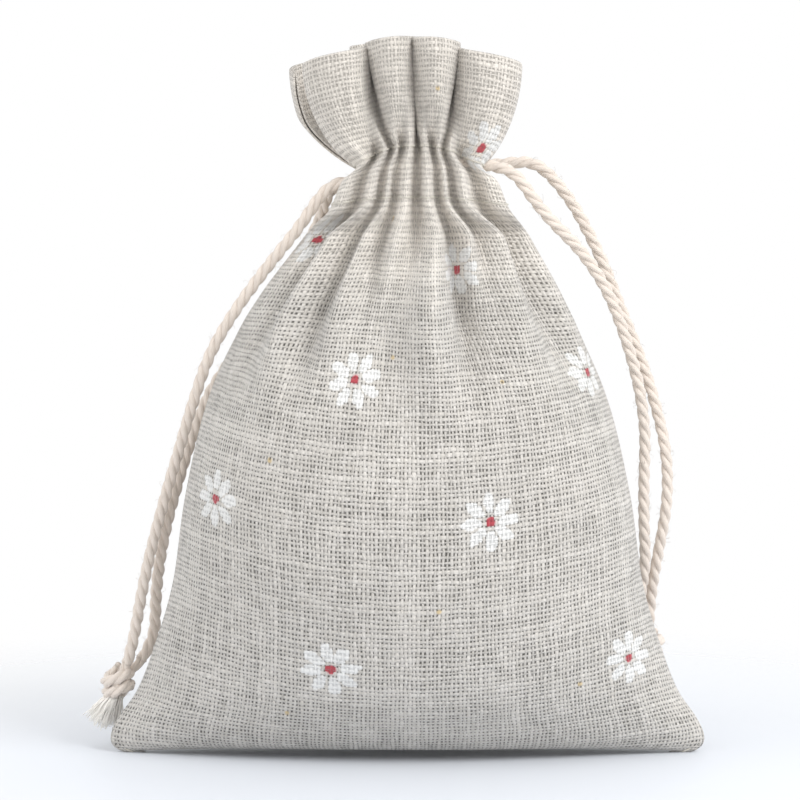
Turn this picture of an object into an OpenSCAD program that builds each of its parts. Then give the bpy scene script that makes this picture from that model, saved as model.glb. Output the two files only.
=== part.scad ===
// Drawstring gift sack: cloth folded at the bottom and sewn up both sides, a tunnel for
// the cords near the top, a gathered frill above it, and two cords that cross the whole
// neck and leave on opposite sides. Millimetres, +Z up, -Y is the front.
// The origin is on the surface that the sack stands on, under its middle.

/* [Sack] */
// Width between the two bottom corners
sack_w = 98.4; // [94:0.2:102]
// Height to the top of the frill
sack_h = 119; // [117:0.5:121]
// Depth of the filled belly, front to back
sack_d = 51; // [47:0.5:54]
// Thickness of the cloth with its weave
cloth_t = 0.7; // [0.5:0.1:0.8]

/* [Neck] */
// Sideways offset of the gathered neck
neck_x = 2; // [1:0.5:3]
// Width of the gathered neck
neck_w = 25.8; // [25:0.2:27]
// Free gap between the front and the back tunnel
neck_gap = 5; // [4.6:0.1:5.4]
// Pleats that show on each side of the neck
pleats = 8; // [6:1:9]

/* [Frill] */
// Width of the frill at its top edge
frill_w = 37; // [32:0.5:40]
// Folds of the frill on each side
frill_lobes = 4; // [3:1:5]

/* [Cords] */
// Diameter of the twisted cord
cord_d = 2; // [1.8:0.1:2]
// How far each loop can be drawn out
cord_pull = 6; // [3:1:7]

/* [Hidden] */
$fn = 32;

cloth_colour = "#d8d3c6";
thread_colour = "#efece3";
cord_colour = "#e9dccb";

// Pieces that only meet stand this far apart.
meet = 0.04;

// The panel's outline from the bottom fold up to the neck:
// half width between the side seams, half depth of the belly, height.
profile_w = 98.4;
profile_d = 51;
profile_h = 119;
profile = [
    [48.8, 6.5, 0.0], [49.2, 10.0, 1.4], [48.3, 13.5, 5.5], [45.8, 17.5, 10.5], [43.2, 21.0, 17.5],
    [39.8, 24.5, 29.0], [37.5, 25.5, 43.0], [34.2, 25.0, 57.0], [31.4, 23.0, 66.5],
    [26.0, 19.5, 75.5], [20.9, 15.3, 84.0], [13.1, 8.6, 92.2]
];
// The neck's offset grows between these heights.
lean_from = 70;
lean_to = 95;
// The cross-section is pointed at the bottom fold and rounder above it.
bottom_roundness = 0.85;
belly_roundness = 0.52;
round_from = 45;

casing_z0 = 92.4 * sack_h / profile_h;
casing_h = 9;
casing_z1 = casing_z0 + casing_h;
casing_x0 = neck_x - neck_w / 2;
casing_x1 = neck_x + neck_w / 2;
pleat_w = neck_w / pleats;
pleat_r = 0.47 * pleat_w;
facing_t = 0.9;
channel_w = cord_d + 0.8;
casing_wall = 1.6;
channel_y0 = neck_gap / 2 + facing_t;
channel_y1 = channel_y0 + channel_w;
cord_y = (channel_y0 + channel_y1) / 2;
casing_y1 = channel_y1 + casing_wall + pleat_r;
casing_mid = casing_z0 + casing_h / 2;
left_z = casing_mid - cord_d / 2 - 0.3;
right_z = casing_mid + cord_d / 2 + 0.3;
cord_r = cord_d / 2;

frill_gap = 1.6;
frill_z0 = casing_z1 + frill_gap;
frill_t = 2 * cloth_t;
frill_y0 = cord_y + 0.6;
frill_y1 = 7.4;

stitch_r = 0.28;
stitch_len = 1.7;
stitch_inset = 0.6;

// The cords' pivots, where each loop bends out of the tunnel.
exit_out = 1.6;
left_exit_x = casing_x0 - exit_out;
right_exit_x = casing_x1 + exit_out;
stub_len = cord_pull + 1.5;

// Free strands, from just past the pivot down to the knot.
left_front_route = [
    [-13.1, -4.7, 94.7], [-17.9, -4.4, 88.0], [-22.9, -3.2, 81.8], [-28.0, -2.0, 75.0], [-32.6, -1.0, 67.4],
    [-35.6, 0.0, 59.2], [-38.2, 1.4, 50.8], [-40.7, 2.4, 42.5], [-43.0, 3.4, 34.2], [-44.8, 4.0, 26.2],
    [-46.2, 4.6, 18.6], [-47.4, 5.0, 14.2]
];
left_back_route = [
    [-12.9, 5.0, 94.5], [-14.6, 7.8, 89.4], [-18.0, 10.2, 83.2], [-23.4, 12.2, 75.2], [-28.6, 12.4, 67.2],
    [-33.4, 9.8, 60.0], [-36.4, 6.8, 52.4], [-38.8, 5.0, 44.5], [-40.8, 5.4, 37.0], [-42.2, 6.8, 29.5],
    [-42.8, 8.0, 23.0], [-43.0, 8.4, 18.6], [-45.2, 7.4, 14.4]
];
right_front_route = [
    [17.3, -4.9, 97.3], [20.6, -4.8, 92.8], [24.2, -3.6, 88.6], [28.8, -2.0, 84.0], [33.2, -0.2, 77.4],
    [36.2, 1.2, 70.0], [38.6, 2.8, 62.0], [39.9, 4.4, 54.0], [39.9, 5.6, 46.0], [40.0, 6.6, 38.0],
    [40.4, 8.4, 31.0], [39.8, 11.0, 25.0], [39.0, 13.0, 19.4]
];
right_back_route = [
    [17.6, 4.8, 98.6], [21.2, 4.9, 98.8], [25.4, 5.0, 94.9], [29.0, 5.4, 89.6], [32.8, 5.8, 82.0],
    [35.8, 6.2, 74.4], [39.2, 6.4, 66.0], [42.0, 6.4, 57.4], [43.8, 6.6, 48.6], [43.8, 7.2, 40.4],
    [42.6, 9.0, 32.4], [41.8, 11.6, 26.0], [41.4, 13.6, 19.4]
];
left_knot_at = [-48.2, 5.6, 10.6];
right_knot_at = [40.2, 13.6, 15.8];
knot_r = 2.7;
turn_r = knot_r - 0.55;
// The two frayed ends under each knot lean this far to the left, and apart.
left_ends_lean = 38;
right_ends_lean = 14;
ends_apart = 13;
ends_len = 6;

// ---- curves ----

// A smooth curve from b to c, with a and d beside them.
function through(a, b, c, d, t) =
    0.5 * (2 * b + (c - a) * t + (2 * a - 5 * b + 4 * c - d) * t * t + (3 * b - a - 3 * c + d) * t * t * t);

// The point at share s, from 0 to 1, of the smooth curve through a list of points.
function along(list, s) =
    let (last = len(list) - 1, p = min(max(s, 0), 1) * last, i = min(floor(p), last - 1))
    through(list[max(i - 1, 0)], list[i], list[i + 1], list[min(i + 2, last)], p - i);

function unit(v) = v / max(norm(v), 1e-9);
function mix(a, b, s) = a + (b - a) * s;
function ease(s) = let (c = min(max(s, 0), 1)) c * c * (3 - 2 * c);

// ---- cloth sheets ----

// How full the cross-section is at share u of its width, at height z.
function belly(u, z) =
    pow(max(1 - pow(abs(u), 2.2), 0), mix(bottom_roundness, belly_roundness, ease(z / round_from)));

// The front panel's outer face: u runs from the left seam to the right one, v from the fold up.
function panel_at(u, v) =
    let (p = along(profile, v), z = max(p[2], 0) * sack_h / profile_h)
    [
        neck_x * ease((z - lean_from) / (lean_to - lean_from)) + p[0] * sack_w / profile_w * u,
        -meet / 2 - p[1] * sack_d / profile_d * belly(u, z),
        z
    ];

// The front frill's outer face, which leans outwards and widens from the tunnel up.
function frill_at(u, v) =
    let (
        half = mix(neck_w / 2, frill_w / 2, pow(v, 0.8)),
        fold = cos(frill_lobes * 180 * (u + 1)),
        top = sack_h - 1.6 * (1 - fold) * v - 1.5 * u * u
    )
    [
        mix(neck_x, 0.6, v) + half * u,
        -mix(frill_y0, frill_y1, v) - mix(1.2, 2.6, v) * fold,
        mix(frill_z0, top, v)
    ];

function normal_at(f, u, v) =
    let (
        h = 0.002,
        u0 = max(u - h, -1),
        u1 = min(u + h, 1),
        v0 = max(v - h, 0),
        v1 = min(v + h, 1)
    )
    unit(cross(f(u1, v) - f(u0, v), f(u, v1) - f(u, v0)));

// A closed sheet of the given thickness under the face f, which keeps to the front half.
module sheet(f, thick, nu, nv) {
    us = [for (i = [0 : nu]) sin(90 * (2 * i / nu - 1))];
    vs = [for (j = [0 : nv]) j / nv];
    outer = [for (v = vs, u = us) f(u, v)];
    inner = [
        for (v = vs, u = us)
            let (p = f(u, v) - thick * normal_at(f, u, v))
            [p[0], min(p[1], -meet / 2), max(p[2], 0)]
    ];
    row = nu + 1;
    far = len(outer);
    function quad(a, b, c, d) = [[a, b, c], [a, c, d]];
    faces = [
        for (j = [0 : nv - 1], i = [0 : nu - 1])
            let (a = j * row + i)
            each concat(
                quad(a, a + row, a + row + 1, a + 1),
                quad(far + a, far + a + 1, far + a + row + 1, far + a + row)
            ),
        for (i = [0 : nu - 1])
            let (top = nv * row + i)
            each concat(quad(i, i + 1, far + i + 1, far + i), quad(top + 1, top, far + top, far + top + 1)),
        for (j = [0 : nv - 1])
            let (a = j * row, b = a + nu)
            each concat(quad(a + row, a, far + a, far + a + row), quad(b, b + row, far + b + row, far + b))
    ];
    polyhedron(concat(outer, inner), faces);
}

module front_panel() {
    color(cloth_colour) sheet(function (u, v) panel_at(u, v), cloth_t, 28, 40);
}

module front_frill() {
    color(cloth_colour) sheet(function (u, v) frill_at(u, v), frill_t, 48, 6);
}

// The strip of cloth that lies on the surface, where the front turns into the back.
module bottom_fold() {
    half_w = 0.965 * panel_at(1, 0)[0];
    half_d = -panel_at(0, 0)[1] - cloth_t / 2;
    us = [for (i = [0 : 24]) i / 12 - 1];
    color(cloth_colour)
    linear_extrude(cloth_t)
        polygon(concat(
            [for (u = us) [half_w * u, -half_d * belly(u, 0)]],
            [for (i = [23 : -1 : 1]) [half_w * us[i], half_d * belly(us[i], 0)]]
        ));
}

// ---- seams ----

seam_w = 5;
seam_t = 0.8;
seam_inset = cloth_t + 0.4;
seam_v0 = 0.2;
seam_v1 = 0.93;

// The turned-in edges of both panels, a flat strip behind each side seam.
module side_seam(side) {
    edge = [for (k = [0 : 16]) panel_at(side, mix(seam_v0, seam_v1, k / 16))];
    outline = concat(
        [for (p = edge) [p[0] - side * seam_inset, p[2]]],
        [for (k = [len(edge) - 1 : -1 : 0]) [edge[k][0] - side * (seam_inset + seam_w), edge[k][2]]]
    );
    color(cloth_colour) translate([0, seam_t / 2, 0]) rotate([90, 0, 0]) linear_extrude(seam_t) polygon(outline);
}

// A row of lock stitches down the strip.
module seam_stitches(side) {
    count = 26;
    color(thread_colour)
    for (k = [0 : count - 1]) {
        p = panel_at(side, mix(seam_v0 + 0.02, seam_v1 - 0.05, k / (count - 1)));
        translate([p[0] - side * (seam_inset + 2.4), -seam_t / 2 - stitch_r - meet, p[2]])
            cylinder(r = stitch_r, h = stitch_len);
    }
}

// ---- tunnel ----

// The outer wall of the back tunnel, gathered into upright pleats.
module casing() {
    color(cloth_colour) {
        translate([casing_x0, channel_y1, casing_z0]) cube([neck_w, casing_wall, casing_h]);
        for (k = [0 : pleats - 1])
            translate([casing_x0 + (k + 0.5) * pleat_w, channel_y1 + casing_wall, casing_z0])
                cylinder(r = pleat_r, h = casing_h);
    }
}

// The turned-in hem behind the cords, the tunnel's inner wall.
module facing() {
    color(cloth_colour) translate([casing_x0, neck_gap / 2, casing_z0]) cube([neck_w, facing_t, casing_h]);
}

// A row of thread along the back tunnel: a stitch over each pleat, and the thread
// between the two walls that closes the tunnel at this height.
module casing_stitches(z) {
    color(thread_colour)
    for (k = [0 : pleats - 1])
        translate([casing_x0 + (k + 0.5) * pleat_w, 0, z]) {
            translate([0, casing_y1 + stitch_r + meet, 0])
                rotate([0, 90, 0]) cylinder(r = stitch_r, h = stitch_len, center = true);
            translate([0, channel_y0 + meet, 0])
                rotate([-90, 0, 0]) cylinder(r = stitch_r, h = channel_w - 2 * meet);
        }
}

// ---- cords ----

// The still part of one cord: along one tunnel, across the far side slit and back along the other.
// side is where its loop hangs, and z its level in the tunnel.
module cord_run(side, z) {
    bend = 0.7 * cord_d;
    far_x = side > 0 ? casing_x0 : casing_x1;
    near_x = (side > 0 ? right_exit_x : left_exit_x) - side * (exit_out + stub_len + 0.3);
    color(cord_colour)
    translate([far_x, 0, z])
    for (flip = [0, 1])
        mirror([0, flip, 0]) {
            translate([0, cord_y, 0]) rotate([0, side * 90, 0]) cylinder(r = cord_r, h = abs(far_x - near_x));
            translate([0, cord_y - bend, 0])
                rotate([0, 0, side > 0 ? 90 : 0])
                    rotate_extrude(angle = 90) translate([bend, 0]) circle(r = cord_r);
            translate([-side * bend, 0, 0]) rotate([-90, 0, 0]) cylinder(r = cord_r, h = cord_y - bend);
        }
}

// The two straight lengths that slide out of the tunnels, with a round end at the pivot.
module cord_stubs(side, z) {
    color(cord_colour)
    for (y = [-cord_y, cord_y])
        translate([side > 0 ? right_exit_x : left_exit_x, y, z]) {
            sphere(r = cord_r);
            rotate([0, -side * 90, 0]) cylinder(r = cord_r, h = exit_out + stub_len);
        }
}

// A round tube along a route, with its rings square to it.
module tube(route, r, rings) {
    sides = 8;
    centres = [for (k = [0 : rings]) along(route, k / rings)];
    function heading(k) = unit(centres[min(k + 1, rings)] - centres[max(k - 1, 0)]);
    points = [
        for (k = [0 : rings])
            let (t = heading(k), a = unit(cross(t, [0, 1, 0])), b = cross(t, a))
            for (i = [0 : sides - 1])
                centres[k] + r * (cos(360 * i / sides) * a + sin(360 * i / sides) * b)
    ];
    last = rings * sides;
    faces = [
        for (k = [0 : rings - 1], i = [0 : sides - 1])
            let (p = k * sides + i, q = k * sides + (i + 1) % sides)
            each [[p, p + sides, q + sides], [p, q + sides, q]],
        for (i = [1 : sides - 2])
            each [[0, i, i + 1], [last, last + i + 1, last + i]]
    ];
    polyhedron(points, faces);
}

module strand(route) {
    color(cord_colour) tube(route, cord_r, 18);
}

// An overhand knot in both strands, as a ball with two turns round it.
module knot(at) {
    color(cord_colour)
    translate(at) {
        sphere(r = knot_r);
        for (tilt = [62, 118])
            rotate([tilt, 0, 30]) rotate_extrude() translate([turn_r, 0]) circle(r = cord_r);
    }
}

// The two cord ends under a knot, which fray and widen.
module cord_ends(at, lean) {
    color(cord_colour)
    translate(at)
        for (spread = [-ends_apart, ends_apart])
            rotate([spread, 180 + lean, 0])
                translate([0, 0, turn_r + cord_r + 0.1])
                    cylinder(r1 = 0.9 * cord_r, r2 = 1.7 * cord_r, h = ends_len);
}

front_panel();
mirror([0, 1, 0]) front_panel();  // back_panel
bottom_fold();
side_seam(-1);  // left_side_seam
side_seam(1);  // right_side_seam
seam_stitches(-1);  // left_seam_stitches
seam_stitches(1);  // right_seam_stitches
mirror([0, 1, 0]) casing();  // front_casing
casing();  // back_casing
mirror([0, 1, 0]) facing();  // front_facing
facing();  // back_facing
mirror([0, 1, 0]) casing_stitches(casing_z0 + stitch_inset);  // front_lower_stitches
mirror([0, 1, 0]) casing_stitches(casing_z1 - stitch_inset);  // front_upper_stitches
casing_stitches(casing_z0 + stitch_inset);  // back_lower_stitches
casing_stitches(casing_z1 - stitch_inset);  // back_upper_stitches
front_frill();
mirror([0, 1, 0]) front_frill();  // back_frill
cord_run(-1, left_z);  // left_cord_run
cord_run(1, right_z);  // right_cord_run
cord_stubs(-1, left_z);  // left_cord_stubs
cord_stubs(1, right_z);  // right_cord_stubs
strand(left_front_route);  // left_front_strand
strand(left_back_route);  // left_back_strand
strand(right_front_route);  // right_front_strand
strand(right_back_route);  // right_back_strand
knot(left_knot_at);  // left_knot
knot(right_knot_at);  // right_knot
cord_ends(left_knot_at, left_ends_lean);  // left_cord_ends
cord_ends(right_knot_at, right_ends_lean);  // right_cord_ends
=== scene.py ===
"""A filled drawstring gift sack of printed open-weave cloth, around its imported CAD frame.

Lengths in the tables below are millimetres and are scaled by MM; everything else is metres.
"""
import math

import bpy
import numpy as np
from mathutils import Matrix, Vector


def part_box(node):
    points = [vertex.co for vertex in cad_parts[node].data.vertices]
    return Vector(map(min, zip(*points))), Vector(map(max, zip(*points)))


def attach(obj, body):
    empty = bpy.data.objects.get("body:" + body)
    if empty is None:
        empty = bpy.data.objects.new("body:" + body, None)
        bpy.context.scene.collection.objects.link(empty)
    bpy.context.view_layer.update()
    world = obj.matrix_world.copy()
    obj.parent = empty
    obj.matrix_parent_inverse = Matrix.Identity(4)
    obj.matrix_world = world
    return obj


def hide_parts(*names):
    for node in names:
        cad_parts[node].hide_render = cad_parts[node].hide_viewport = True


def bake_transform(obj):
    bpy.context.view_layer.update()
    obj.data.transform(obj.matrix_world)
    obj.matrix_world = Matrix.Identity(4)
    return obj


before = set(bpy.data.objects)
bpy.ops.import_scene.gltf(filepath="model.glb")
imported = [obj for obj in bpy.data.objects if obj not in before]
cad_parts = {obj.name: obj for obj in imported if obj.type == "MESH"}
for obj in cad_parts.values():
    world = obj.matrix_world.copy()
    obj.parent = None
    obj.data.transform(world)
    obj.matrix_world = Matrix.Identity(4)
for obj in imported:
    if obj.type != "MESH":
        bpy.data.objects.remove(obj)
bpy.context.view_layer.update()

MM = 0.001

# ---------------------------------------------------------------- places taken from the frame

casing_low, casing_high = (np.array(corner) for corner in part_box("front_casing"))
frill_high = np.array(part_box("front_frill")[1])
left_stub_low = np.array(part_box("left_cord_stubs")[0])
right_stub_high = np.array(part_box("right_cord_stubs")[1])
neck_x = (casing_low[0] + casing_high[0]) / 2

CORD_D = 2.0 * MM
CORD_Y = 4.8 * MM
left_exit_x = left_stub_low[0] + CORD_D / 2
right_exit_x = right_stub_high[0] - CORD_D / 2
left_exit_z = (left_stub_low[2] + np.array(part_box("left_cord_stubs")[1])[2]) / 2
right_exit_z = (right_stub_high[2] + np.array(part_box("right_cord_stubs")[0])[2]) / 2

# ---------------------------------------------------------------- camera

VIEW_DISTANCE, VIEW_ELEVATION, VIEW_WIDTH = 550.0, math.radians(4), 133.3
VIEW_TARGET = np.array([-1.25, 0, 59.2])
VIEW_BACK = np.array([0, -math.cos(VIEW_ELEVATION), math.sin(VIEW_ELEVATION)])
VIEW_UP = np.array([0, math.sin(VIEW_ELEVATION), math.cos(VIEW_ELEVATION)])


def make_camera():
    """Nearly level with the sack's middle, from far enough away for a flat perspective."""
    data = bpy.data.cameras.new("camera")
    data.sensor_width = 36
    data.lens = data.sensor_width * VIEW_DISTANCE / VIEW_WIDTH
    data.clip_start = 0.01
    camera = bpy.data.objects.new("camera", data)
    camera.location = (VIEW_TARGET + VIEW_DISTANCE * VIEW_BACK) * MM
    camera.rotation_euler = (math.pi / 2 - VIEW_ELEVATION, 0, 0)
    bpy.context.collection.objects.link(camera)
    bpy.context.scene.camera = camera


make_camera()

# ---------------------------------------------------------------- curves and meshes


def spline(points, count):
    """count points along the Catmull-Rom curve through points, evenly spaced in the points' index."""
    p = np.array(points, float)
    p = np.vstack([2 * p[0] - p[1], p, 2 * p[-1] - p[-2]])
    where = np.linspace(0, len(points) - 1, count)
    i = np.minimum(where.astype(int), len(points) - 2)
    t = (where - i)[:, None]
    a, b, c, d = p[i], p[i + 1], p[i + 2], p[i + 3]
    return 0.5 * (2 * b + (c - a) * t + (2 * a - 5 * b + 4 * c - d) * t**2 + (3 * b - a - 3 * c + d) * t**3)


def lengths(points):
    """Distance along a polyline at each of its points."""
    return np.concatenate([[0], np.cumsum(np.linalg.norm(np.diff(points, axis=0), axis=1))])


def evenly(points, count):
    """The same polyline with count points at equal distances."""
    at = lengths(points)
    want = np.linspace(0, at[-1], count)
    return np.stack([np.interp(want, at, points[:, k]) for k in range(points.shape[1])], axis=1)


def ease(x):
    x = np.clip(x, 0, 1)
    return x * x * (3 - 2 * x)


def rise(value, start, end):
    """0 up to start, then smoothly to 1 at end."""
    return ease((value - start) / (end - start))


def frames(points):
    """Tangent and two normals at each point of a polyline, turning as little as possible."""
    tangent = np.gradient(points, axis=0)
    tangent /= np.linalg.norm(tangent, axis=1, keepdims=True)
    side = np.cross(tangent[0], [0.3, 1, 0.2])
    sides = []
    for t in tangent:
        side = side - t * np.dot(side, t)
        side = side / np.linalg.norm(side)
        sides.append(side)
    sides = np.array(sides)
    return tangent, sides, np.cross(tangent, sides)


def new_object(name, verts, faces, material=None, uv=None):
    """A smooth mesh object. uv has one pair for each corner of each face, in turn."""
    mesh = bpy.data.meshes.new(name)
    face_lists = faces if isinstance(faces, list) else faces.tolist()
    mesh.from_pydata(np.asarray(verts, float).tolist(), [], face_lists)
    if uv is not None:
        mesh.uv_layers.new(name="lay").data.foreach_set("uv", np.asarray(uv, float).ravel())
    mesh.polygons.foreach_set("use_smooth", [True] * len(mesh.polygons))
    if material:
        mesh.materials.append(material)
    mesh.update()
    obj = bpy.data.objects.new(name, mesh)
    bpy.context.collection.objects.link(obj)
    return obj


def tube(line, radius, sides):
    """A closed round tube: vertices, faces, and (share of a turn, distance along) for each face corner."""
    _, a, b = frames(line)
    along = lengths(line)
    angle = 2 * math.pi * np.arange(sides) / sides
    ring = np.cos(angle)[:, None] * a[:, None] + np.sin(angle)[:, None] * b[:, None]
    radii = np.broadcast_to(radius, len(line))
    verts = (line[:, None] + radii[:, None, None] * ring).reshape(-1, 3)
    k, i = (x.ravel() for x in np.meshgrid(np.arange(len(line) - 1), np.arange(sides), indexing="ij"))
    j = (i + 1) % sides
    quads = np.stack([k * sides + i, k * sides + j, (k + 1) * sides + j, (k + 1) * sides + i], axis=-1)
    u = np.stack([i, i + 1, i + 1, i], axis=-1) / sides
    v = np.stack([along[k], along[k], along[k + 1], along[k + 1]], axis=-1)
    around = np.arange(sides)
    caps = [around[::-1].tolist(), (around + (len(line) - 1) * sides).tolist()]
    cap_uv = [(x / sides, along[end]) for end, order in ((0, around[::-1]), (-1, around)) for x in order]
    uv = np.vstack([np.stack([u, v], axis=-1).reshape(-1, 2), cap_uv])
    return verts, quads.tolist() + caps, uv


def merge(parts):
    """Joins a list of (vertices, faces, corner coordinates) into one."""
    faces, first = [], 0
    for verts, part_faces, _ in parts:
        faces += [[i + first for i in face] for face in part_faces]
        first += len(verts)
    return np.vstack([p[0] for p in parts]), faces, np.vstack([p[2] for p in parts])


def apply_modifiers(obj):
    """Replaces the object's mesh with its evaluated one."""
    graph = bpy.context.evaluated_depsgraph_get()
    evaluated = obj.evaluated_get(graph)
    mesh = bpy.data.meshes.new_from_object(evaluated, preserve_all_data_layers=True, depsgraph=graph)
    old = obj.data
    obj.modifiers.clear()
    obj.data = mesh
    bpy.data.meshes.remove(old)


# ---------------------------------------------------------------- the cloth's shape before it is relaxed

CLOTH_W = 100.0
BODY_T, CASING_T, FRILL_T = 110.0, 9.0, 19.0
CLOTH_T = BODY_T + CASING_T + FRILL_T
STEP = 1.25
COLS = int(CLOTH_W / STEP) + 1
ROWS = int(CLOTH_T / STEP) + 1
across = np.linspace(-CLOTH_W / 2, CLOTH_W / 2, COLS)
upward = np.linspace(0, CLOTH_T, ROWS)
body_rows = upward[upward <= BODY_T]
# From -1 at the left seam to 1 at the right one.
sideways = across / (CLOTH_W / 2)

# The filled sack's outline, close to the frame's: half width, half depth, height.
OUTLINE = [
    (47.9, 3.0, 0.0), (49.7, 7.5, 0.9), (50.0, 10.5, 3.0), (48.7, 13.5, 6.0), (45.8, 17.5, 10.5),
    (43.2, 21.0, 17.5), (39.8, 24.0, 29.0), (37.5, 25.0, 43.0), (34.2, 24.0, 57.0), (30.4, 21.0, 66.5),
    (25.0, 17.2, 75.5), (20.6, 14.0, 82.5), (17.6, 12.0, 87.3), (15.4, 10.8, 91.0)
]

# The open weave closes up where it is gathered, to this share of its flat width.
GATHERED = 0.86
# Folds stand out of the body from this height up, and are deepest from the second on.
FOLDS_FROM, FOLDS_DEEPEST, FOLD_DEPTH = 54, 84, 4.2
# Between these heights the body's broad folds turn into the tunnel's narrow ones.
GATHERS_FROM, GATHERS_FULL = 70, 92
# The back frill sits this far left of the front one.
BACK_FRILL_SHIFT = 5.2

# The gathered cloth seen from above along the tunnel, left to right: (across, out of the front).
CASING_FOLDS = [
    (-10.0, -3.6), (-11.0, -7.4), (-9.3, -10.7), (-7.4, -6.6), (-5.5, -11.0), (-4.1, -6.8), (-2.9, -10.3),
    (-1.9, -7.0), (-0.1, -10.9), (1.5, -6.4), (3.0, -11.2), (4.6, -6.9), (5.8, -10.2), (7.0, -6.8),
    (8.6, -11.1), (10.4, -5.6), (12.6, -8.6), (14.9, -8.6), (13.8, -3.8)
]
# The broad folds that run on down the front from the neck: (place across the cloth, height).
BROAD_FOLDS = [
    (-50, 0), (-44, 0.4), (-37, -0.5), (-29, 0.7), (-22, -0.7), (-15, 0.9), (-6.5, -1.1), (3.5, 1.9),
    (15, -2.0), (24, 0.8), (32, -0.4), (40, 0.4), (50, 0)
]
# The same cloth along the frill's top edge, where it spreads into four broad folds.
FRILL_FOLDS = [
    (-14.5, -3.5), (-16.6, -7.8), (-13.2, -11.6), (-9.3, -12.2), (-7.4, -8.2), (-6.4, -3.0), (-5.4, -7.2),
    (-4.2, -12.0), (-1.6, -12.6), (0.0, -8.0), (0.8, -2.2), (1.8, -8.0), (3.2, -12.6), (5.9, -12.2),
    (7.2, -8.0), (7.6, -3.0), (8.8, -8.0), (11.2, -11.9), (15.0, -11.2), (18.2, -8.2), (16.6, -3.8)
]


def centre_x(height):
    """The sack's middle leans across to the neck's."""
    return 1000 * neck_x * rise(height, 70, 95)


def section(width, depth, height):
    """The front half of the belly's cross-section at one height, by equal lengths of cloth."""
    x = np.sin(np.linspace(-math.pi / 2, math.pi / 2, 301))
    roundness = 0.85 + (0.52 - 0.85) * rise(height, 0, 45)
    y = -depth * np.maximum(1 - np.abs(x)**2.2, 0)**roundness
    return evenly(np.stack([centre_x(height) + width * x, y], axis=1), COLS)


def wave(knots):
    """A smooth wave across the cloth through (place, height) knots."""
    knots = np.array(knots, float)
    i = np.clip(np.searchsorted(knots[:, 0], across, side="right") - 1, 0, len(knots) - 2)
    share = (across - knots[i, 0]) / (knots[i + 1, 0] - knots[i, 0])
    return knots[i, 1] + (knots[i + 1, 1] - knots[i, 1]) * ease(share)


def full_width(folds, share=1.0):
    """The folds' curve, deepened to take up this share of the cloth's width, and each fold's place on it."""
    per_fold = 30
    curve = spline(folds, per_fold * (len(folds) - 1) + 1)
    middle = curve[:, 1].mean()
    for _ in range(12):
        excess = share * CLOTH_W / lengths(curve)[-1]
        curve[:, 1] = middle + (curve[:, 1] - middle) * excess**1.3
    return evenly(curve, COLS), lengths(curve)[::per_fold] / share - CLOTH_W / 2


casing_row, casing_places = full_width(CASING_FOLDS, GATHERED)
frill_row, _ = full_width(FRILL_FOLDS)
MIDDLE = np.array([1000 * neck_x, -8.5])
CASING_Z = 1000 * casing_low[2], 1000 * casing_high[2]
FRILL_Z = 1000 * frill_high[2]


def plain_body():
    """The body's rows from the bottom fold to the tunnel before they are folded, and the way out of them."""
    rows = []
    for width, depth, height in spline(OUTLINE, 120):
        height = max(height, 0)
        rows.append(np.column_stack([section(width, max(depth, 0.5), height), np.full(COLS, height)]))
    rows = np.array(rows)
    body = np.empty((len(body_rows), COLS, 3))
    for c in range(COLS):
        at = lengths(rows[:, c])
        for k in range(3):
            body[:, c, k] = np.interp(body_rows * at[-1] / BODY_T, at, rows[:, c, k])
    slope = np.gradient(body, axis=1)
    outwards = np.stack([slope[..., 1], -slope[..., 0]], axis=-1)
    return body, outwards / np.maximum(np.linalg.norm(outwards, axis=-1, keepdims=True), 1e-9)


def folded(row, outwards, pattern, most, width):
    """The row, pushed in and out by the pattern until it takes up this width of cloth."""
    plain = lengths(row)[-1]
    depth = 0.5
    for _ in range(8):
        moved = row.copy()
        moved[:, :2] += outwards * (depth * pattern)[:, None]
        excess = max(lengths(moved)[-1]**2 - plain**2, 1e-6)
        depth = min(depth * math.sqrt(max(width**2 - plain**2, 0) / excess), most)
    return moved


def designed_body():
    """The body, with folds that are deep at the neck and fewer further down."""
    body, outwards = plain_body()
    ridges = [(-1)**n * (0.75 + 0.5 * abs(math.sin(2.3 * n))) for n in range(len(casing_places) - 4)]
    many = wave([(-50, 0)] + list(zip(casing_places[2:-2], ridges)) + [(50, 0)])
    few = wave(BROAD_FOLDS)
    fold_ends = 44 - 9 * np.cos(across * 0.19 - 0.9) + 4 * np.sin(across * 0.43 + 2)
    for r, row in enumerate(body):
        height = row[:, 2].mean()
        share = rise(height, GATHERS_FROM, GATHERS_FULL)
        pattern = (share * many + (1 - share) * (few + 0.35 * many)) * ease((height - fold_ends) / 26)
        pattern = pattern * (1 - 0.75 * share * np.abs(sideways)**3)
        most = FOLD_DEPTH * rise(height, FOLDS_FROM, FOLDS_DEEPEST)
        body[r] = folded(row, outwards[r], pattern, most, CLOTH_W * (1 - (1 - GATHERED) * share))
    # Slack in the belly's cloth, and the bottom edge arching up a little.
    t = body_rows[:, None]
    slack = np.sin(across / 9 + t / 17) + np.sin(t / 11 - across / 14 + 1)
    slack = slack * (1 - sideways**2) * rise(t, 0, 25) * (1 - rise(t, 70, 95))
    body[..., :2] += 0.45 * outwards * slack[..., None]
    body[..., 2] += 1.3 * (1 - np.abs(sideways)**2.5) * (1 - rise(t, 0, 9))
    return body


def opened_down(share):
    """The tunnel's folds, from its upper stitches, at 0, opening out down to its lower ones, at 1."""
    pinch = 1 - rise(share, 0, 0.4)
    fold = (casing_row - MIDDLE) * [0.92 + 0.2 * share - 0.18 * pinch, 0.9 + 0.1 * share]
    out = 1.7 * share - 1.8 * pinch
    return MIDDLE + fold - np.stack([0 * sideways, out * (1 - sideways**6)], axis=1)


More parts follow.
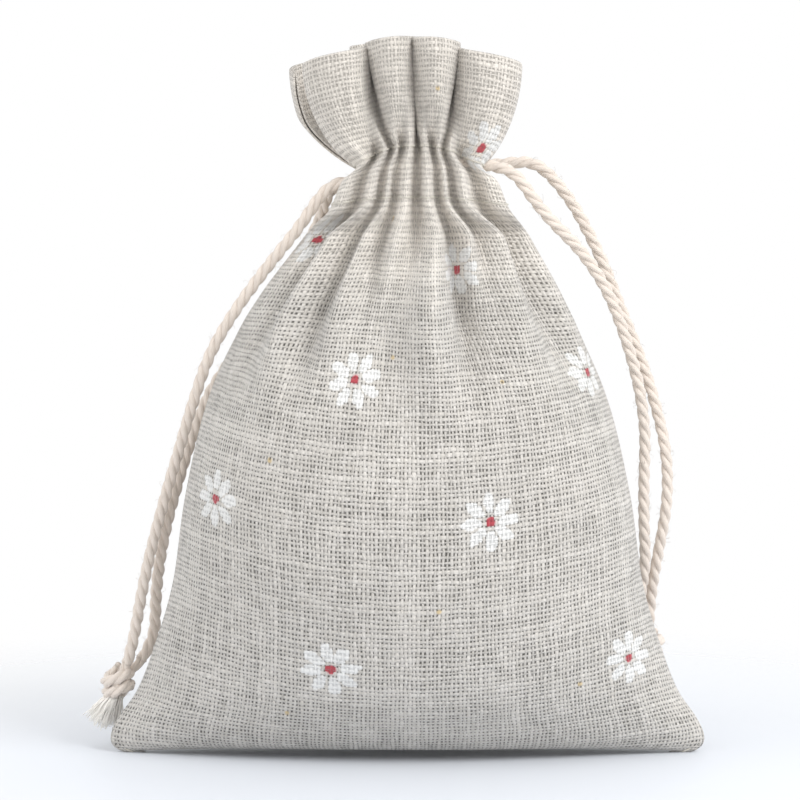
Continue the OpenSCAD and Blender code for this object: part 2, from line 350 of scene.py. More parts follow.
def designed_front():
    """Where each point of the front cloth starts, in millimetres: rows by columns by three."""
    body = designed_body()
    drop = np.abs(sideways)**3
    top_z = FRILL_Z - 5.0 * sideways**2
    upper = []
    for t in upward[upward > BODY_T]:
        in_casing = (t - BODY_T) / CASING_T
        in_frill = (t - BODY_T - CASING_T) / FRILL_T
        if in_frill <= 0:
            z = CASING_Z[0] + (CASING_Z[1] - CASING_Z[0]) * in_casing - (1.5 + 3.0 * in_casing) * drop
            flat = opened_down(1 - in_casing)
        else:
            z = (CASING_Z[1] - 4.5 * drop) * (1 - in_frill) + top_z * in_frill
            flare = math.sin(in_frill * math.pi / 2)**(0.85 - 0.35 * sideways[:, None]**2)
            flat = opened_down(0) * (1 - flare) + frill_row * flare
        upper.append(np.column_stack([flat, z]))
    # The body's last 5 mm turn into the tunnel's folds, which go on opening out.
    below = BODY_T - body_rows[:, None]
    join = ease(1 - below / 5)[..., None]
    neck_centre = np.array([MIDDLE[0], 0])
    target = np.empty_like(body)
    target[..., :2] = neck_centre + (opened_down(1) - neck_centre) * (1 + 0.036 * below[..., None])
    target[..., 2] = CASING_Z[0] - 1.5 * drop - 0.9 * below
    return np.concatenate([body * (1 - join) + target * join, upper])


# ---------------------------------------------------------------- the cloth, relaxed

# The side seams end here, so that the tunnel is open at both sides.
SEAM_T = BODY_T - 2
# The simulation runs on a sack this many times as big, which suits its solver.
SIM_SCALE = 10
SIM_FRAMES = 14
# How firmly each stretch keeps its designed shape, and how hard the filling presses.
FRILL_HOLD, NECK_HOLD, BODY_HOLD, FOOT_HOLD, PRESSURE = 0.12, 0.6, 0.08, 0.8, 1.5


def designed_back(front):
    """The back cloth: the front's mirror image, with its gathers the other way round."""
    back = front[:, ::-1].copy()
    back[..., 0] = 2 * centre_x(front[:, :1, 2]) - back[..., 0]
    back[..., 0] -= BACK_FRILL_SHIFT * ease((upward - BODY_T - CASING_T) / 10)[:, None]
    back[..., 1] *= -1
    return back


def sewn_indices():
    """Vertex numbers of the front and the back grid in one mesh, shared along the fold and the seams."""
    front = np.arange(ROWS * COLS).reshape(ROWS, COLS)
    shared = np.zeros((ROWS, COLS), bool)
    shared[0] = True
    shared[upward <= SEAM_T, 0] = True
    shared[upward <= SEAM_T, -1] = True
    back = np.where(shared, front, -1)
    back[~shared] = ROWS * COLS + np.arange((~shared).sum())
    return front, back


def grid_faces(index, flipped=False):
    """The quads between the vertex numbers of a grid."""
    a, b, c, d = index[:-1, :-1], index[:-1, 1:], index[1:, 1:], index[1:, :-1]
    quads = np.stack([a, b, c, d], axis=-1).reshape(-1, 4)
    return quads[:, ::-1] if flipped else quads


def relaxed(front, back):
    """Lets the sewn cloth settle with Blender's cloth simulation, held at the tunnel."""
    front_at, back_at = sewn_indices()
    count = back_at.max() + 1
    start, flat, hold = np.empty((count, 3)), np.empty((count, 3)), np.zeros(count)
    s, t = np.meshgrid(across, upward)
    body_hold = BODY_HOLD + (NECK_HOLD - BODY_HOLD) * np.round(rise(t, 88, BODY_T), 1)
    held = np.where(t > BODY_T, FRILL_HOLD, body_hold)
    held[(t >= BODY_T) & (t <= BODY_T + CASING_T)] = 1.0
    held[t < 3] = FOOT_HOLD
    for index, shape, side in ((back_at, back, 1), (front_at, front, -1)):
        start[index] = shape
        flat[index] = np.stack([s, np.full_like(s, 0.3 * side), t], axis=-1)
        hold[index] = held
    faces = np.vstack([grid_faces(front_at), grid_faces(back_at, True)])
    sewing = new_object("sewing", start * MM * SIM_SCALE, faces)
    sewing.shape_key_add(name="Basis")
    key = sewing.shape_key_add(name="flat")
    key.data.foreach_set("co", (flat * MM * SIM_SCALE).ravel())
    group = sewing.vertex_groups.new(name="hold")
    for value in np.unique(hold):
        group.add([int(i) for i in np.nonzero(hold == value)[0]], float(value), "REPLACE")
    cloth = sewing.modifiers.new("cloth", "CLOTH")
    settings = cloth.settings
    settings.rest_shape_key = key
    settings.vertex_group_mass = "hold"
    settings.quality = 8
    settings.mass = 0.2
    settings.tension_stiffness = 40
    settings.compression_stiffness = 30
    settings.shear_stiffness = 4
    settings.bending_stiffness = 0.6
    settings.pin_stiffness = 1.0
    settings.air_damping = 2
    settings.use_pressure = True
    settings.uniform_pressure_force = PRESSURE
    settings.effector_weights.gravity = 0
    cloth.collision_settings.use_collision = False
    cloth.point_cache.frame_end = SIM_FRAMES
    for step in range(1, SIM_FRAMES + 1):
        bpy.context.scene.frame_set(step)
    evaluated = sewing.evaluated_get(bpy.context.evaluated_depsgraph_get())
    final = np.empty(count * 3)
    evaluated.data.vertices.foreach_get("co", final)
    final = final.reshape(-1, 3) / (MM * SIM_SCALE)
    bpy.context.scene.frame_set(1)
    bpy.data.objects.remove(sewing)
    return final[front_at], final[back_at]


# ---------------------------------------------------------------- materials

# Places in the materials are millimetres of cloth or cord, from the map 'lay'.
WARP_PITCH, WEFT_PITCH = 0.67, 0.88
PAINT_WHITE, PAINT_RED = (0.79, 0.79, 0.78), (0.42, 0.03, 0.05)
# The neck's pale yarn colour is warmer and a little lighter: painted light of the gathered, doubled cloth.
YARN_PALE, YARN_PALE_NECK_GLOW, YARN_DARK = (0.665, 0.64, 0.61), (0.70, 0.655, 0.602), (0.50, 0.47, 0.425)
FLECK = (0.60, 0.42, 0.14)
# What shows through the weave's gaps, as painted shade: the unlit inside of the sack, or another layer of
# cloth in shade.
INSIDE_SHADE, NEXT_LAYER_SHADED = (0.085, 0.08, 0.07), (0.40, 0.37, 0.33)
# A daisy's petals are 2 mm wide, with their middles this far out and their tips this much further.
PETALS, PETAL_AT, PETAL_REACH, MIDDLE_R = 8, 3.25, 1.8, 0.9


def connect(tree, socket, value):
    """Gives a socket a link or a constant, whichever value is."""
    if isinstance(value, bpy.types.NodeSocket):
        tree.links.new(value, socket)
    else:
        socket.default_value = value


def calc(tree, operation, *values, clamp=False):
    node = tree.nodes.new("ShaderNodeMath")
    node.operation = operation
    node.use_clamp = clamp
    for socket, value in zip(node.inputs, values):
        connect(tree, socket, value)
    return node.outputs[0]


def sum_node(operation):
    """A function that adds a node for one kind of sum."""
    return lambda tree, *values, clamp=False: calc(tree, operation, *values, clamp=clamp)


plus, minus, times, divided = (sum_node(name) for name in ("ADD", "SUBTRACT", "MULTIPLY", "DIVIDE"))
times_plus, larger = sum_node("MULTIPLY_ADD"), sum_node("MAXIMUM")


def hypotenuse(tree, x, y):
    return calc(tree, "SQRT", plus(tree, times(tree, x, x), times(tree, y, y)))


def point(tree, x, y=0.0, z=0.0):
    node = tree.nodes.new("ShaderNodeCombineXYZ")
    for socket, value in zip(node.inputs, (x, y, z)):
        connect(tree, socket, value)
    return node.outputs[0]


def noise(tree, x, y=0.0, z=0.0, detail=1.0):
    """Smooth noise about 0.5, one feature for each unit of x, y or z."""
    node = tree.nodes.new("ShaderNodeTexNoise")
    node.inputs["Scale"].default_value = 1.0
    node.inputs["Detail"].default_value = detail
    connect(tree, node.inputs["Vector"], point(tree, x, y, z))
    return node.outputs[0]


def patchy(tree, a, per_a, b, per_b, seed=0.0, detail=1.0):
    """Smooth noise about 0.5, with per_a features for each unit of a and per_b for each unit of b."""
    return noise(tree, times(tree, a, per_a), times(tree, b, per_b), seed, detail)


def chance(tree, value):
    """A random share from 0 to 1 for each whole value."""
    node = tree.nodes.new("ShaderNodeTexWhiteNoise")
    node.noise_dimensions = "1D"
    connect(tree, node.inputs["W"], value)
    return node.outputs[0]


def about(tree, value, amount, centre=1.0):
    """centre + amount * (value - 0.5)"""
    return times_plus(tree, value, amount, centre - amount / 2)


def step_down(tree, value, edge, softness):
    """1 where value is below edge, 0 above it."""
    rise = divided(tree, minus(tree, edge, value), softness)
    return plus(tree, rise, 0.5, clamp=True)


def mixed(tree, share, first, second):
    node = tree.nodes.new("ShaderNodeMix")
    node.data_type = "RGBA"
    connect(tree, node.inputs[0], share)
    for socket, value in ((node.inputs[6], first), (node.inputs[7], second)):
        connect(tree, socket, value if isinstance(value, bpy.types.NodeSocket) else (*value, 1))
    return node.outputs[2]


def scaled(tree, colour, factor):
    node = tree.nodes.new("ShaderNodeVectorMath")
    node.operation = "SCALE"
    tree.links.new(colour, node.inputs[0])
    tree.links.new(factor, node.inputs["Scale"])
    return node.outputs[0]


def laid(tree):
    """The two places from the map 'lay'."""
    place = tree.nodes.new("ShaderNodeUVMap")
    place.uv_map = "lay"
    split = tree.nodes.new("ShaderNodeSeparateXYZ")
    tree.links.new(place.outputs[0], split.inputs[0])
    return split.outputs[0], split.outputs[1]


def new_material(name, roughness, sheen):
    material = bpy.data.materials.new(name)
    material.use_nodes = True
    shader = material.node_tree.nodes["Principled BSDF"]
    shader.inputs["Roughness"].default_value = roughness
    shader.inputs["Specular IOR Level"].default_value = 0.25
    shader.inputs["Sheen Weight"].default_value = sheen
    shader.inputs["Sheen Roughness"].default_value = 0.5
    return material, material.node_tree, shader


def bump(tree, shader, height, distance):
    node = tree.nodes.new("ShaderNodeBump")
    node.inputs["Strength"].default_value = 1.0
    node.inputs["Distance"].default_value = distance
    tree.links.new(height, node.inputs["Height"])
    tree.links.new(node.outputs[0], shader.inputs["Normal"])


def daisy_group():
    """Shares of white petal and red middle at a place, for a daisy at a centre."""
    group = bpy.data.node_groups.new("daisy", "ShaderNodeTree")
    for name in ("x", "y", "centre x", "centre y", "turn"):
        group.interface.new_socket(name, in_out="INPUT", socket_type="NodeSocketFloat")
    for name in ("petals", "middle"):
        group.interface.new_socket(name, in_out="OUTPUT", socket_type="NodeSocketFloat")
    given = group.nodes.new("NodeGroupInput").outputs
    result = group.nodes.new("NodeGroupOutput").inputs
    dx, dy = minus(group, given[0], given[2]), minus(group, given[1], given[3])
    radius = hypotenuse(group, dx, dy)
    turns = times(group, plus(group, calc(group, "ARCTAN2", dy, dx), given[4]), PETALS / (2 * math.pi))
    petal = calc(group, "FLOOR", turns)
    angle = times(group, minus(group, calc(group, "FRACT", turns), 0.5), 2 * math.pi / PETALS)
    longer = about(group, chance(group, plus(group, petal, given[2])), 0.4, 0.0)
    out = times(group, radius, calc(group, "COSINE", angle))
    aside = times(group, radius, calc(group, "SINE", angle))
    out = divided(group, minus(group, minus(group, out, PETAL_AT), longer), PETAL_REACH)
    size = plus(group, times(group, out, out), times(group, aside, aside))
    group.links.new(step_down(group, size, 1.0, 0.3), result[0])
    group.links.new(step_down(group, radius, MIDDLE_R, 0.3), result[1])
    return group


def yarns(tree, position, crossing, number, along, over, width):
    """Cover, height and brightness of one set of yarns."""
    off = minus(tree, calc(tree, "FRACT", position), 0.5)
    own = chance(tree, plus(tree, number, 0.37))
    slub = patchy(tree, number, 5.17, along, 0.22, 3.0)
    fine = patchy(tree, position, 5.0, along, 2.2, 1.0, detail=2.0)
    half = plus(tree, about(tree, own, 0.10, width), about(tree, slub, 0.42, 0.0))
    away = calc(tree, "ABSOLUTE", plus(tree, off, about(tree, fine, 0.26, 0.0)))
    cover = step_down(tree, away, half, 0.10)
    share = divided(tree, away, half)
    round_off = minus(tree, 1.0, times(tree, share, share), clamp=True)
    turn = times(tree, minus(tree, calc(tree, "FRACT", crossing), 0.5), math.pi)
    crest = times(tree, over, times(tree, calc(tree, "COSINE", turn), 0.35))
    height = plus(tree, times(tree, round_off, 0.45), plus(tree, crest, 0.4))
    bright = times(tree, about(tree, own, 0.12), about(tree, fine, 0.75))
    bright = times(tree, bright, about(tree, slub, 0.18))
    return cover, times(tree, height, cover), bright


def on_yarn(tree, position, number, pitch):
    """A place moved halfway to the middle of its own yarn."""
    middle = times(tree, plus(tree, number, 0.5), 0.5)
    return times(tree, plus(tree, times(tree, position, 0.5), middle), pitch)


def cloth_material(daisies):
    """Open plain weave in undyed yarn, printed with daisies at (across, up, turn)."""
    material, tree, shader = new_material("cloth", 0.92, 0.4)
    s, t = laid(tree)
    # Each yarn wanders a little along its length.
    s = plus(tree, s, about(tree, patchy(tree, s, 0.5, t, 0.2), 0.7, 0.0))
    t = plus(tree, t, about(tree, patchy(tree, s, 0.2, t, 0.5, 7.0), 0.8, 0.0))
    warp, weft = divided(tree, s, WARP_PITCH), divided(tree, t, WEFT_PITCH)
    warp_number, weft_number = calc(tree, "FLOOR", warp), calc(tree, "FLOOR", weft)
    odd = calc(tree, "FLOORED_MODULO", plus(tree, warp_number, weft_number), 2.0)
    over = times_plus(tree, odd, 2.0, -1.0)
    under = times(tree, over, -1.0)
    warp_cover, warp_height, warp_bright = yarns(tree, warp, weft, warp_number, t, over, 0.335)
    weft_cover, weft_height, weft_bright = yarns(tree, weft, warp, weft_number, s, under, 0.325)
    covered = larger(tree, warp_cover, weft_cover)
    height = larger(tree, warp_height, weft_height)
    warp_on_top = step_down(tree, weft_height, warp_height, 0.12)
    brighter = minus(tree, warp_bright, weft_bright)
    bright = plus(tree, weft_bright, times(tree, warp_on_top, brighter))
    bright = times(tree, bright, about(tree, patchy(tree, s, 0.07, t, 0.07, 5.0, detail=3.0), 0.22))
    # Towards the neck the gathers close the weave, and above it the cloth is double. Painted light makes the
    # cloth lighter towards the neck, standing in for light that comes through the thin gathered cloth, and
    # somewhat less over the frill.
    gathered = times_plus(tree, t, 0.05, -0.05 * (BODY_T - 20), clamp=True)
    frill = times_plus(tree, t, 0.15, -0.15 * (BODY_T + CASING_T), clamp=True)
    # Painted light: lighter in the tunnel, somewhat less over the frill.
    painted_neck_glow = minus(tree, times_plus(tree, gathered, 0.27, 1.0), times(tree, frill, 0.17))
    # Painted shade between the yarns: the lower a yarn lies, the darker it is painted.
    deep = times_plus(tree, height, 0.42, 0.66, clamp=True)
    bright = times(tree, times(tree, bright, deep), painted_neck_glow)
    beige = patchy(tree, s, 0.9, t, 0.5, 9.0, detail=2.0)
    # Towards the neck the pale yarn takes that warmer painted light.
    colour = mixed(tree, beige, mixed(tree, gathered, YARN_PALE, YARN_PALE_NECK_GLOW), YARN_DARK)
    # A few stray coloured fibres spun in with the yarn.
    cell = tree.nodes.new("ShaderNodeTexVoronoi")
    cell.voronoi_dimensions = "2D"
    cell.inputs["Scale"].default_value = 0.03
    tree.links.new(point(tree, s, t), cell.inputs["Vector"])
    fleck = step_down(tree, cell.outputs["Distance"], 0.012, 0.008)
    plain = scaled(tree, mixed(tree, times(tree, fleck, 0.6), colour, FLECK), bright)
    # The print sits on the yarns, so its edges follow them.
    near_s = on_yarn(tree, warp, warp_number, WARP_PITCH)
    near_t = on_yarn(tree, weft, weft_number, WEFT_PITCH)
    group = daisy_group()
    petals, middle = 0.0, 0.0
    for centre_s, centre_t, turn in daisies:
        daisy = tree.nodes.new("ShaderNodeGroup")
        daisy.node_tree = group
        for socket, value in zip(daisy.inputs, (near_s, near_t, centre_s, centre_t, turn)):
            connect(tree, socket, value)
        petals = larger(tree, petals, daisy.outputs[0])
        middle = larger(tree, middle, daisy.outputs[1])
    paint = larger(tree, petals, middle)
    # The print takes the same painted shade between the yarns, and the yarn's own beige tone.
    print_shade = times(tree, times_plus(tree, deep, 0.35, 0.67), about(tree, beige, 0.25))
    printed = scaled(tree, mixed(tree, middle, PAINT_WHITE, PAINT_RED), print_shade)
    surface = mixed(tree, times(tree, paint, 0.93), plain, printed)
    # Some gaps are partly closed by loose fibres, and the print closes most of its own.
    gap = tree.nodes.new("ShaderNodeTexWhiteNoise")
    gap.noise_dimensions = "2D"
    tree.links.new(point(tree, calc(tree, "ROUND", warp), calc(tree, "ROUND", weft)), gap.inputs["Vector"])
    closed = times(tree, times(tree, gap.outputs[0], gap.outputs[0]), 0.7)
    covered = larger(tree, covered, closed)
    filled = larger(tree, covered, times(tree, paint, 0.9))
    # The gaps show painted shade: the sack's unlit inside, or towards the neck the shaded next layer of
    # cloth.
    behind = mixed(tree, gathered, INSIDE_SHADE, NEXT_LAYER_SHADED)
    tree.links.new(mixed(tree, filled, behind, surface), shader.inputs["Base Color"])
    bump(tree, shader, height, 0.22 * MM)
    return material


def fibre_material(name, light, dark, turns_per_mm, sheen=0.3, relief=0.12):
    """Twisted yarn: fine fibres that run round it as they run along it. relief is in millimetres."""
    material, tree, shader = new_material(name, 0.88, sheen)
    turn, along = laid(tree)
    lean = times(tree, plus(tree, turn, times(tree, along, turns_per_mm)), 2 * math.pi)
    x, y = times(tree, calc(tree, "SINE", lean), 5.0), times(tree, calc(tree, "COSINE", lean), 5.0)
    fibres = noise(tree, x, y, times(tree, along, 0.5), detail=3.0)
    patches = noise(tree, times(tree, along, 0.3), 4.0, 2.0)
    share = plus(tree, times(tree, fibres, 0.75), times(tree, patches, 0.25), clamp=True)
    tree.links.new(mixed(tree, share, dark, light), shader.inputs["Base Color"])
    bump(tree, shader, fibres, relief * MM)
    return material


# ---------------------------------------------------------------- the cloth

# How thick the cloth is.
SHEET_T = 0.45
front_mm = designed_front()
back_mm = designed_back(front_mm)
front_mm, back_mm = relaxed(front_mm, back_mm)


def grid_normals(points, outward):
    """Unit normals of a grid of points; outward is -1 for the front cloth and 1 for the back."""
    normal = np.cross(np.gradient(points, axis=1), np.gradient(points, axis=0)) * -outward
    return normal / np.maximum(np.linalg.norm(normal, axis=-1, keepdims=True), 1e-9)


def as_seen(points):
    """Points of the front moved to where the camera sees them in the plane y = 0."""
    apart = points - VIEW_TARGET
    nearer = VIEW_DISTANCE / (VIEW_DISTANCE - apart @ VIEW_BACK)
    seen = points.copy()
    seen[..., 0] = VIEW_TARGET[0] + apart[..., 0] * nearer
    seen[..., 2] = VIEW_TARGET[2] + apart @ VIEW_UP * nearer
    return seen


def cloth_point_at(points, x, z, outward):
    """(across, up) of the outermost cloth at a place seen from the front or the back."""
    fine_s, fine_t = np.linspace(across[0], across[-1], 401), np.linspace(upward[0], upward[-1], 553)
    rows = np.stack([np.stack([np.interp(fine_s, across, row[:, k]) for row in points]) for k in range(3)])
    planes = [[np.interp(fine_t, upward, column) for column in plane.T] for plane in rows]
    fine = np.stack([np.stack(plane, axis=1) for plane in planes], axis=-1)
    away = np.hypot(fine[..., 0] - x, fine[..., 2] - z)
    miss = away - 0.1 * outward * fine[..., 1] * (away < 0.6)
    r, c = np.unravel_index(np.argmin(miss), miss.shape)
    return float(fine_s[c]), float(fine_t[r])


# (x, z, turn) of the daisies that show on the front, and of others like them on the back.
FRONT_DAISIES = [
    (-8.8, 62.5, 0.1), (13.8, 38.7, 0.35), (-12.9, 14.2, 0.2), (37.0, 16.3, 0.5), (-32.0, 42.8, 0.3),
    (-15.0, 85.8, 0.6), (8.0, 81.0, 0.15), (30.0, 64.0, 0.45), (12.2, 101.0, 0.0)
]
BACK_DAISIES = [
    (-26.0, 16.0, 0.2), (8.0, 12.5, 0.5), (30.0, 30.0, 0.1), (-12.0, 37.0, 0.4), (14.0, 52.0, 0.7),
    (-29.0, 57.0, 0.0), (-6.0, 72.0, 0.3), (18.0, 79.0, 0.55), (-4.0, 108.0, 0.25)
]
# The back cloth's places in the map 'lay' start this far from the front's.
BACK_S = 1.5 * CLOTH_W
daisies = [(*cloth_point_at(as_seen(front_mm), x, z, -1), turn) for x, z, turn in FRONT_DAISIES]
for x, z, turn in BACK_DAISIES:
    s, t = cloth_point_at(back_mm, x, z, 1)
    daisies.append((s + BACK_S, t, turn))

CLOTH = cloth_material(daisies)
THREAD = fibre_material("thread", (0.80, 0.77, 0.70), (0.62, 0.58, 0.50), 0.8)
CORD = fibre_material("cord", (0.88, 0.81, 0.74), (0.66, 0.565, 0.49), 0.18, 0.5)
FIBRE = fibre_material("cord_fibre", (0.98, 0.96, 0.92), (0.95, 0.91, 0.85), 0.05, 0.6, 0.005)


def thickened(obj, thickness, offset=-1.0, smooth=1):
    """Gives a sheet its thickness, by default away from its normals, and rounds it smooth times."""
    solid = obj.modifiers.new("thickness", "SOLIDIFY")
    solid.thickness = thickness * MM
    solid.offset = offset
    if smooth:
        obj.modifiers.new("smooth", "SUBSURF").levels = smooth
    apply_modifiers(obj)
    return obj


def sheet(name, points, s, t, flipped):
    """A sheet of cloth from a grid of points, with its places on the cloth in the map 'lay'."""
    rows, columns = points.shape[:2]
    faces = grid_faces(np.arange(rows * columns).reshape(rows, columns), flipped)
    place = np.stack(np.meshgrid(s, t), axis=-1).reshape(-1, 2)
    return new_object(name, points.reshape(-1, 3) * MM, faces, CLOTH, place[faces.ravel()])


def cloth_piece(name, points, s, t, outward):
    return thickened(sheet(name, points, s, t, outward > 0), SHEET_T)


front_cloth = cloth_piece("front_cloth", front_mm, across, upward, -1)
back_cloth = cloth_piece("back_cloth", back_mm, across + BACK_S, upward, 1)

# The hem's lower edge on the cloth, how far in the tunnel's inner wall is, and how deep its folds are.
HEM_LOW = BODY_T - 2.5
TUNNEL_Y, TUNNEL_FOLD = 2.9, 0.85


def hem_points(points, outward):
    """The inner layer from below the tunnel to the frill's top, behind the cord in the tunnel."""
    rows = upward >= HEM_LOW
    cloth, t = points[rows], upward[rows]
    inwards = -grid_normals(points, outward)[rows]
    close = cloth + inwards * (SHEET_T + 0.12)
    tunnel = cloth.copy()
    tunnel[..., 1] = outward * TUNNEL_Y + TUNNEL_FOLD * (cloth[..., 1] - 8.5 * outward)
    tunnel[..., 0] = cloth[..., 0] * 0.97
    share = (ease((t - BODY_T + 0.5) / 2) * (1 - ease((t - BODY_T - CASING_T + 1.5) / 2)))[:, None, None]
    hem = close * (1 - share) + tunnel * share
    top = ease((t - CLOTH_T + 2) / 2)[:, None, None]
    return hem * (1 - top) + (cloth + inwards * SHEET_T * 0.5) * top


def hem_piece(name, points, outward, first_s):
    t = 2 * CLOTH_T - upward[upward >= HEM_LOW]
    return cloth_piece(name, hem_points(points, outward), across + first_s, t, outward)


front_hem = hem_piece("front_hem", front_mm, -1, 0)
back_hem = hem_piece("back_hem", back_mm, 1, BACK_S)

# ---------------------------------------------------------------- seams and stitches

SEAM_ALLOWANCE = 4.0
THREAD_R, STITCH_LIFT = 0.17, 0.10
seam_rows = upward <= SEAM_T


def seam_strip(name, edge, inward):
    """The two raw edges sewn together inside one side of the sack."""
    steps = np.array([0.4, 1.6, 2.8, SEAM_ALLOWANCE])
    points = np.repeat(edge[:, None], len(steps), axis=1)
    points[..., 0] += inward * steps
    points[..., 1] += 0.15 * np.sin(edge[:, 2] / 7)[:, None] * steps
    strip = sheet(name, points, inward * steps - 90, upward[seam_rows], inward < 0)
    return thickened(strip, 2 * SHEET_T, 0.0, 0)


def stitch_row(name, line, normals, stitch):
    """Lock stitches along a line on the cloth, each one sinking in at both ends."""
    at = lengths(line)
    total = at[-1]
    count = int(total / stitch)
    from_middle = np.linspace(-0.5, 0.5, 7)**2
    parts = []
    for number in range(count):
        where = np.linspace(number + 0.06, number + 0.94, 7) * total / count
        centre = np.stack([np.interp(where, at, line[:, k]) for k in range(3)], axis=1)
        normal = np.stack([np.interp(where, at, normals[:, k]) for k in range(3)], axis=1)
        height = STITCH_LIFT * (1 - 5.4 * from_middle)
        parts.append(tube(centre + normal * height[:, None], THREAD_R * (1 - 0.9 * from_middle), 6))
    verts, faces, uv = merge(parts)
    return new_object(name, verts * MM, faces, THREAD, uv)


def row_on(cloth, points, at_t, outward):
    """The line at one height up the cloth, on the finished cloth's surface, and its normals."""
    r = int(np.searchsorted(upward, at_t))
    share = (at_t - upward[r - 1]) / STEP
    line = spline(points[r - 1] * (1 - share) + points[r] * share, 6 * COLS)
    found = [cloth.closest_point_on_mesh(Vector(p * MM)) for p in line]
    normals = np.array([normal for _, _, normal, _ in found])
    guess = spline(grid_normals(points, outward)[r], 6 * COLS)
    agrees = (normals * guess).sum(axis=1, keepdims=True) > 0
    places = np.array([place for _, place, _, _ in found]) / MM
    return np.where(agrees, places, line), np.where(agrees, normals, guess)


stitches = {}
LOWER_STITCH_T, UPPER_STITCH_T = BODY_T + 0.6, BODY_T + CASING_T
for side, cloth, points, outward in (("front", front_cloth, front_mm, -1), ("back", back_cloth, back_mm, 1)):
    for level, at_t in (("lower", LOWER_STITCH_T), ("upper", UPPER_STITCH_T)):
        line, normals = row_on(cloth, points, at_t, outward)
        stitches[side, level] = stitch_row(f"{side}_{level}_thread", line, normals, 2.3)

seams = {}
for side, column, inward in (("left", 0, 1), ("right", -1, -1)):
    edge = front_mm[seam_rows, column]
    strip = seam_strip(f"{side}_seam", edge, inward)
    line = edge + [inward * 2.0, 0, 0]
    sewn = np.tile([0.0, -1.0, 0.0], (len(line), 1))
    rows_of_thread = stitch_row(f"{side}_seam_thread", line - [0, SHEET_T + 0.05, 0], sewn, 2.6)
    seams[side] = strip, rows_of_thread

# ---------------------------------------------------------------- cords

# A ply's radius, how far it winds round the cord's middle, the length of one turn, and a tube's ring spacing.
PLY_R, HELIX_R, LAY_LENGTH, RING = 0.54, 0.48, 7.2, 0.36
# Each strand's way from the tunnel's mouth down to its knot.
STRAND_ROUTES = {
    "left_front": [
        (-13.1, -4.7, 94.7), (-17.9, -4.4, 88.0), (-22.9, -3.2, 81.8), (-28.0, -2.0, 75.0),
        (-32.6, -1.0, 67.4), (-35.6, 0.0, 59.2), (-38.2, 1.4, 50.8), (-40.7, 2.4, 42.5),
        (-43.0, 3.4, 34.2), (-44.8, 4.0, 26.2), (-46.2, 4.6, 18.6), (-47.4, 5.0, 14.2)
    ],
    "left_back": [
        (-12.9, 5.0, 94.5), (-14.6, 7.8, 89.4), (-18.0, 10.2, 83.2), (-23.4, 12.2, 75.2),
        (-28.6, 12.4, 67.2), (-33.4, 9.8, 60.0), (-36.4, 6.8, 52.4), (-38.8, 5.0, 44.5),
        (-40.8, 5.4, 37.0), (-42.2, 6.8, 29.5), (-42.8, 8.0, 23.0), (-43.0, 8.4, 18.6),
        (-45.2, 7.4, 14.4)
    ],
    "right_front": [
        (17.3, -4.9, 97.3), (20.6, -4.8, 92.8), (24.2, -3.6, 88.6), (28.8, -2.0, 84.0),
        (33.2, -0.2, 77.4), (36.2, 1.2, 70.0), (38.6, 2.8, 62.0), (39.9, 4.4, 54.0),
        (39.9, 5.6, 46.0), (40.0, 6.6, 38.0), (40.4, 8.4, 31.0), (39.8, 11.0, 25.0),
        (39.0, 13.0, 19.4)
    ],
    "right_back": [
        (17.6, 4.8, 98.6), (21.2, 4.9, 98.8), (25.4, 5.0, 94.9), (29.0, 5.4, 89.6),
        (32.8, 5.8, 82.0), (35.8, 6.2, 74.4), (39.2, 6.4, 66.0), (42.0, 6.4, 57.4),
        (43.8, 6.6, 48.6), (43.8, 7.2, 40.4), (42.6, 9.0, 32.4), (41.8, 11.6, 26.0),
        (41.4, 13.6, 19.4)
    ],
}
# The hidden run inside the tunnels: how far from the neck's middle it turns back, and how wide the turn is.
FAR_TURN_X, TURN_R = 9.0, 3.0
# Each frayed end leans outward from straight down by this many degrees; the right one leans back in.
KNOTS = {"left": (-48.2, 5.6, 10.6), "right": (40.2, 13.6, 15.8)}
END_LEANS = {"left": -32, "right": 14}
EXITS = {
    "left": np.array([left_exit_x, 0, left_exit_z]) / MM,
    "right": np.array([right_exit_x, 0, right_exit_z]) / MM
}
OUTWARD = {"left": -1, "right": 1}


def rope(line, rng, diameter=2.0, hairs=1.4, start=0.0):
    """Three plies laid round each other along a line, with this many stray hairs for each millimetre."""
    size = diameter / 2.0
    line = evenly(line, int(lengths(line)[-1] / RING) + 2)
    _, a, b = frames(line)
    along = lengths(line)
    parts = []
    for ply in range(3):
        angle = 2 * math.pi * (start + ply / 3 - along / LAY_LENGTH)
        round_line = np.cos(angle)[:, None] * a + np.sin(angle)[:, None] * b
        thick = PLY_R * size * (1 + 0.05 * np.sin(along * 1.7 + ply * 2.1) + 0.03 * np.sin(along * 4.3 + ply))
        parts.append(tube(line + HELIX_R * size * round_line, thick, 9))
    for _ in range(int(hairs * along[-1])):
        parts.append(hair(line, a, b, rng, size))
    return merge(parts)


def hair(line, a, b, rng, size):
    """One loose fibre standing off a cord."""
    k = rng.integers(1, len(line) - 2)
    angle = rng.uniform(0, 2 * math.pi)
    out = math.cos(angle) * a[k] + math.sin(angle) * b[k]
    drift = (line[k + 1] - line[k - 1]) / np.linalg.norm(line[k + 1] - line[k - 1])
    reach, run = rng.uniform(0.25, 0.9), rng.uniform(-1.2, 1.2)
    u = np.linspace(0, 1, 5)[:, None]
    centre = line[k] + out * (0.85 * size + reach * np.sin(u * rng.uniform(1.4, 2.8))) + drift * run * u
    return tube(centre, 0.028 * (1 - 0.5 * u[:, 0]), 3)


